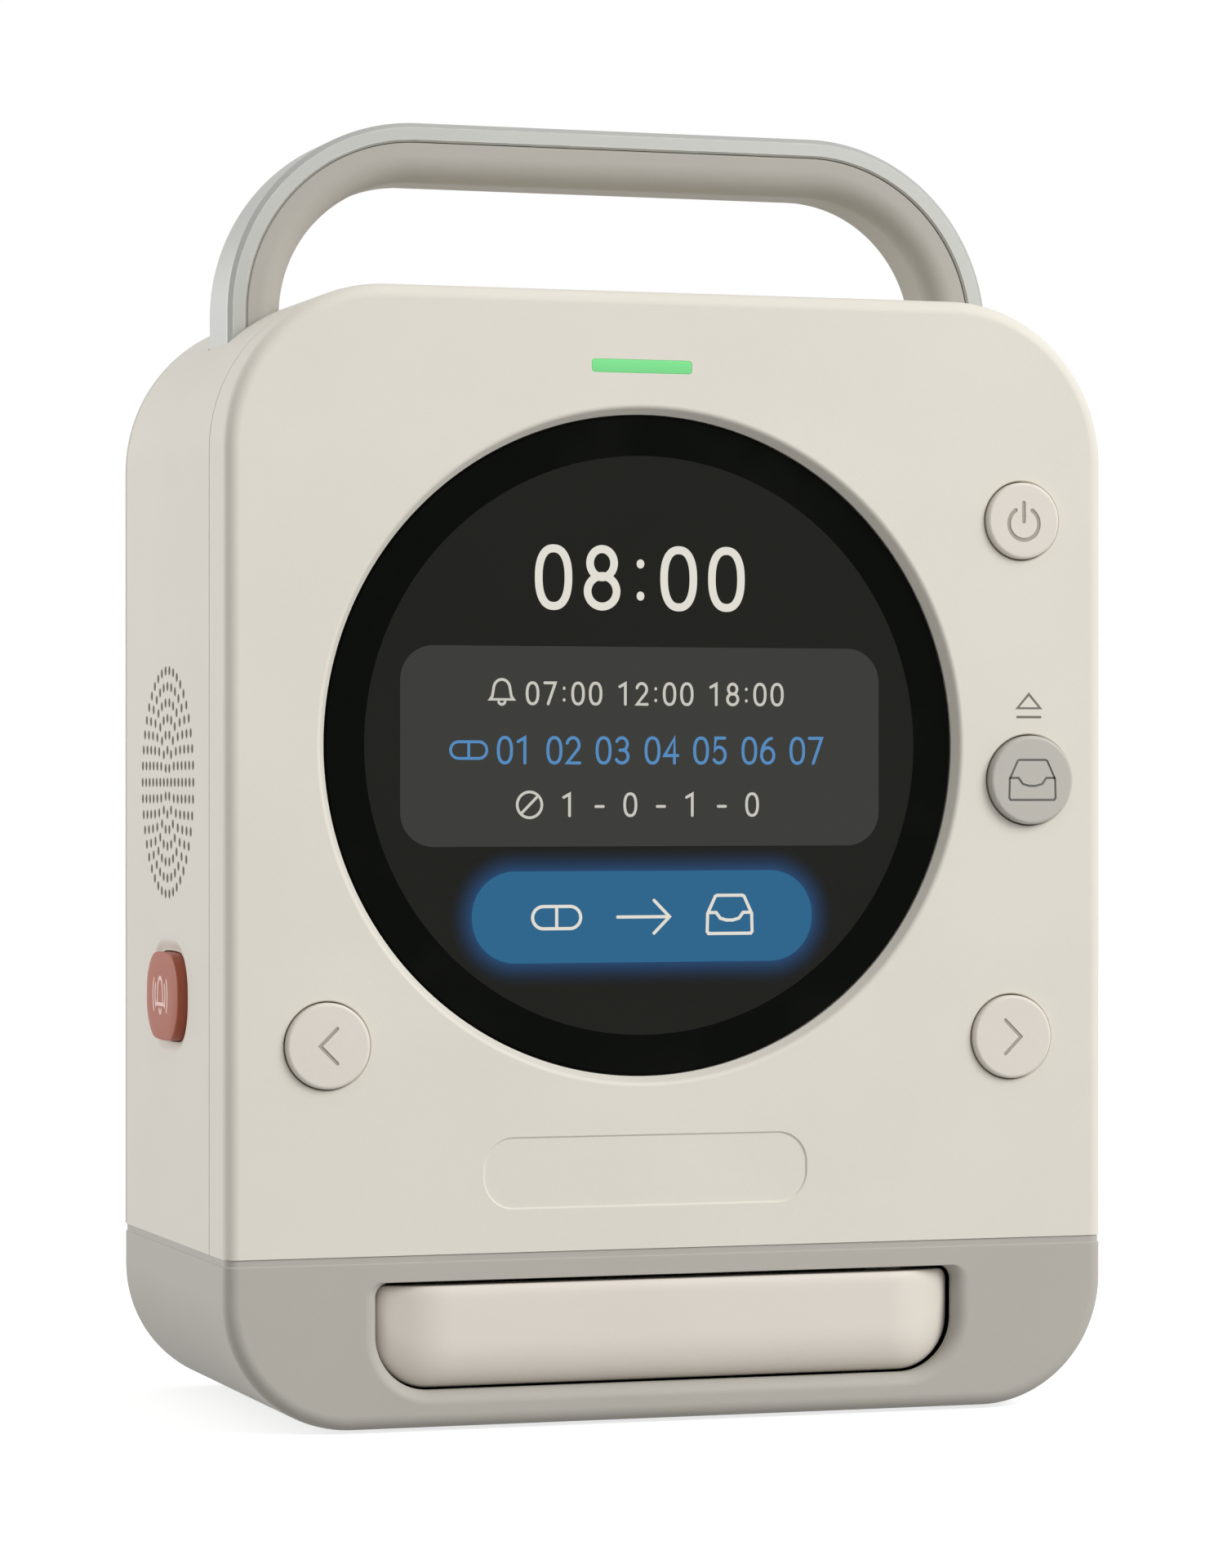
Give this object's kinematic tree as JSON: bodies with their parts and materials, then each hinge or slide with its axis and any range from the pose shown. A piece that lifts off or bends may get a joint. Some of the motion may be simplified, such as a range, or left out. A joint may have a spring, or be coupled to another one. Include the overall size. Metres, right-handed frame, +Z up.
{
  "type": "automatic pill dispenser",
  "caption": "Upright home pill dispenser with a round display, push buttons, side call button, speaker, carrying handle and a powered tray fed by an internal pill wheel.",
  "frame": {"origin": "on the table, under the middle of the body", "axes": "+Z up, the display faces -Y, +X to the right seen from the front"},
  "size_m": [0.2053, 0.1021, 0.2885],
  "materials": {
    "shell": "fine matt moulded cream",
    "tray_front": "fine matt moulded cream",
    "base": "matt warm grey",
    "handle_trim": "satin silver",
    "handle_core": "soft matt warm grey",
    "display_glass": "black cover glass",
    "status_light": "lit light bar",
    "button": "matt cream",
    "tray_button": "satin grey",
    "call_button": "matt red",
    "dark_plastic": "black",
    "board": "green solder mask",
    "steel": "plain",
    "natural_plastic": "natural white",
    "tray_bin": "smooth off-white",
    "clear_lid": "clear plastic",
    "cell_wrap": "plain sleeve",
    "rubber": "black"
  },
  "bodies": {
    "body": {"front_cover": "shell", "side_housing": "shell", "back_cover": "shell", "base_housing": "base", "foot_left": "rubber", "foot_right": "rubber", "handle_trim": "handle_trim", "handle_core": "handle_core", "handle_screw_left": "steel", "handle_screw_right": "steel", "display_glass": "display_glass", "display_panel": "dark_plastic", "display_frame": "dark_plastic", "main_board": "board", "shield_can": "steel", "status_light": "status_light", "light_board": "board", "power_switch": "dark_plastic", "previous_switch": "dark_plastic", "next_switch": "dark_plastic", "tray_switch": "dark_plastic", "call_switch": "dark_plastic", "button_board_left": "board", "button_board_right": "board", "call_board": "board", "speaker": "dark_plastic", "chassis_plate": "steel", "mechanism_frame": "steel", "pill_chute": "natural_plastic", "wheel_drum": "natural_plastic", "wheel_lid": "clear_lid", "wheel_axle": "steel", "wheel_motor": "steel", "tray_rail_left": "steel", "tray_rail_right": "steel", "tray_motor": "steel", "hinge_pin": "steel", "catch_plate": "steel", "cover_screw_1": "steel", "cover_screw_2": "steel", "cover_screw_3": "steel", "cover_screw_4": "steel", "battery_cell_left": "cell_wrap", "battery_cell_right": "cell_wrap", "power_inlet": "dark_plastic"},
    "tray": {"tray_front": "tray_front", "tray_bin": "tray_bin", "tray_rack": "natural_plastic"},
    "tray_pinion": {"tray_pinion": "natural_plastic"},
    "pill_wheel": {"wheel_disc": "natural_plastic", "wheel_dividers": "natural_plastic", "wheel_gear": "natural_plastic"},
    "drive_pinion": {"drive_pinion": "natural_plastic"},
    "refill_door": {"refill_door": "shell", "door_magnet": "steel"},
    "power_button": {"power_button": "button"},
    "tray_button": {"tray_button": "tray_button"},
    "previous_button": {"previous_button": "button"},
    "next_button": {"next_button": "button"},
    "call_button": {"call_button": "call_button"}
  },
  "joints": [
    {"name": "tray_slide", "type": "slide", "parent": "body", "child": "tray", "axis": [0, -1, 0], "range_m": [0, 0.0565]},
    {"name": "tray_pinion_spin", "type": "hinge", "parent": "body", "child": "tray_pinion", "pos_m": [0.0576, -0.029, 0.0126], "axis": [0, 0, 1], "range_deg": [0, 540]},
    {"name": "wheel_spin", "type": "hinge", "parent": "body", "child": "pill_wheel", "pos_m": [0, 0, 0.1408], "axis": [0, 1, 0], "continuous": true},
    {"name": "drive_pinion_spin", "type": "hinge", "parent": "body", "child": "drive_pinion", "pos_m": [0, -0.0126, 0.1768], "axis": [0, 1, 0], "continuous": true},
    {"name": "refill_door_hinge", "type": "hinge", "parent": "body", "child": "refill_door", "pos_m": [0.066, 0.0476, 0.1408], "axis": [0, 0, -1], "range_deg": [0, 95]},
    {"name": "power_button_press", "type": "slide", "parent": "body", "child": "power_button", "axis": [0, 1, 0], "range_m": [0, 0.001], "stiffness_N_per_m": 600},
    {"name": "tray_button_press", "type": "slide", "parent": "body", "child": "tray_button", "axis": [0, 1, 0], "range_m": [0, 0.001], "stiffness_N_per_m": 600},
    {"name": "previous_button_press", "type": "slide", "parent": "body", "child": "previous_button", "axis": [0, 1, 0], "range_m": [0, 0.001], "stiffness_N_per_m": 600},
    {"name": "next_button_press", "type": "slide", "parent": "body", "child": "next_button", "axis": [0, 1, 0], "range_m": [0, 0.001], "stiffness_N_per_m": 600},
    {"name": "call_button_press", "type": "slide", "parent": "body", "child": "call_button", "axis": [1, 0, 0], "range_m": [0, 0.001], "stiffness_N_per_m": 800}
  ],
  "couplings": [
    {"joint": "tray_pinion_spin", "follows": "tray_slide", "rad_per_m": 166.67},
    {"joint": "drive_pinion_spin", "follows": "wheel_spin", "ratio": -5}
  ]
}
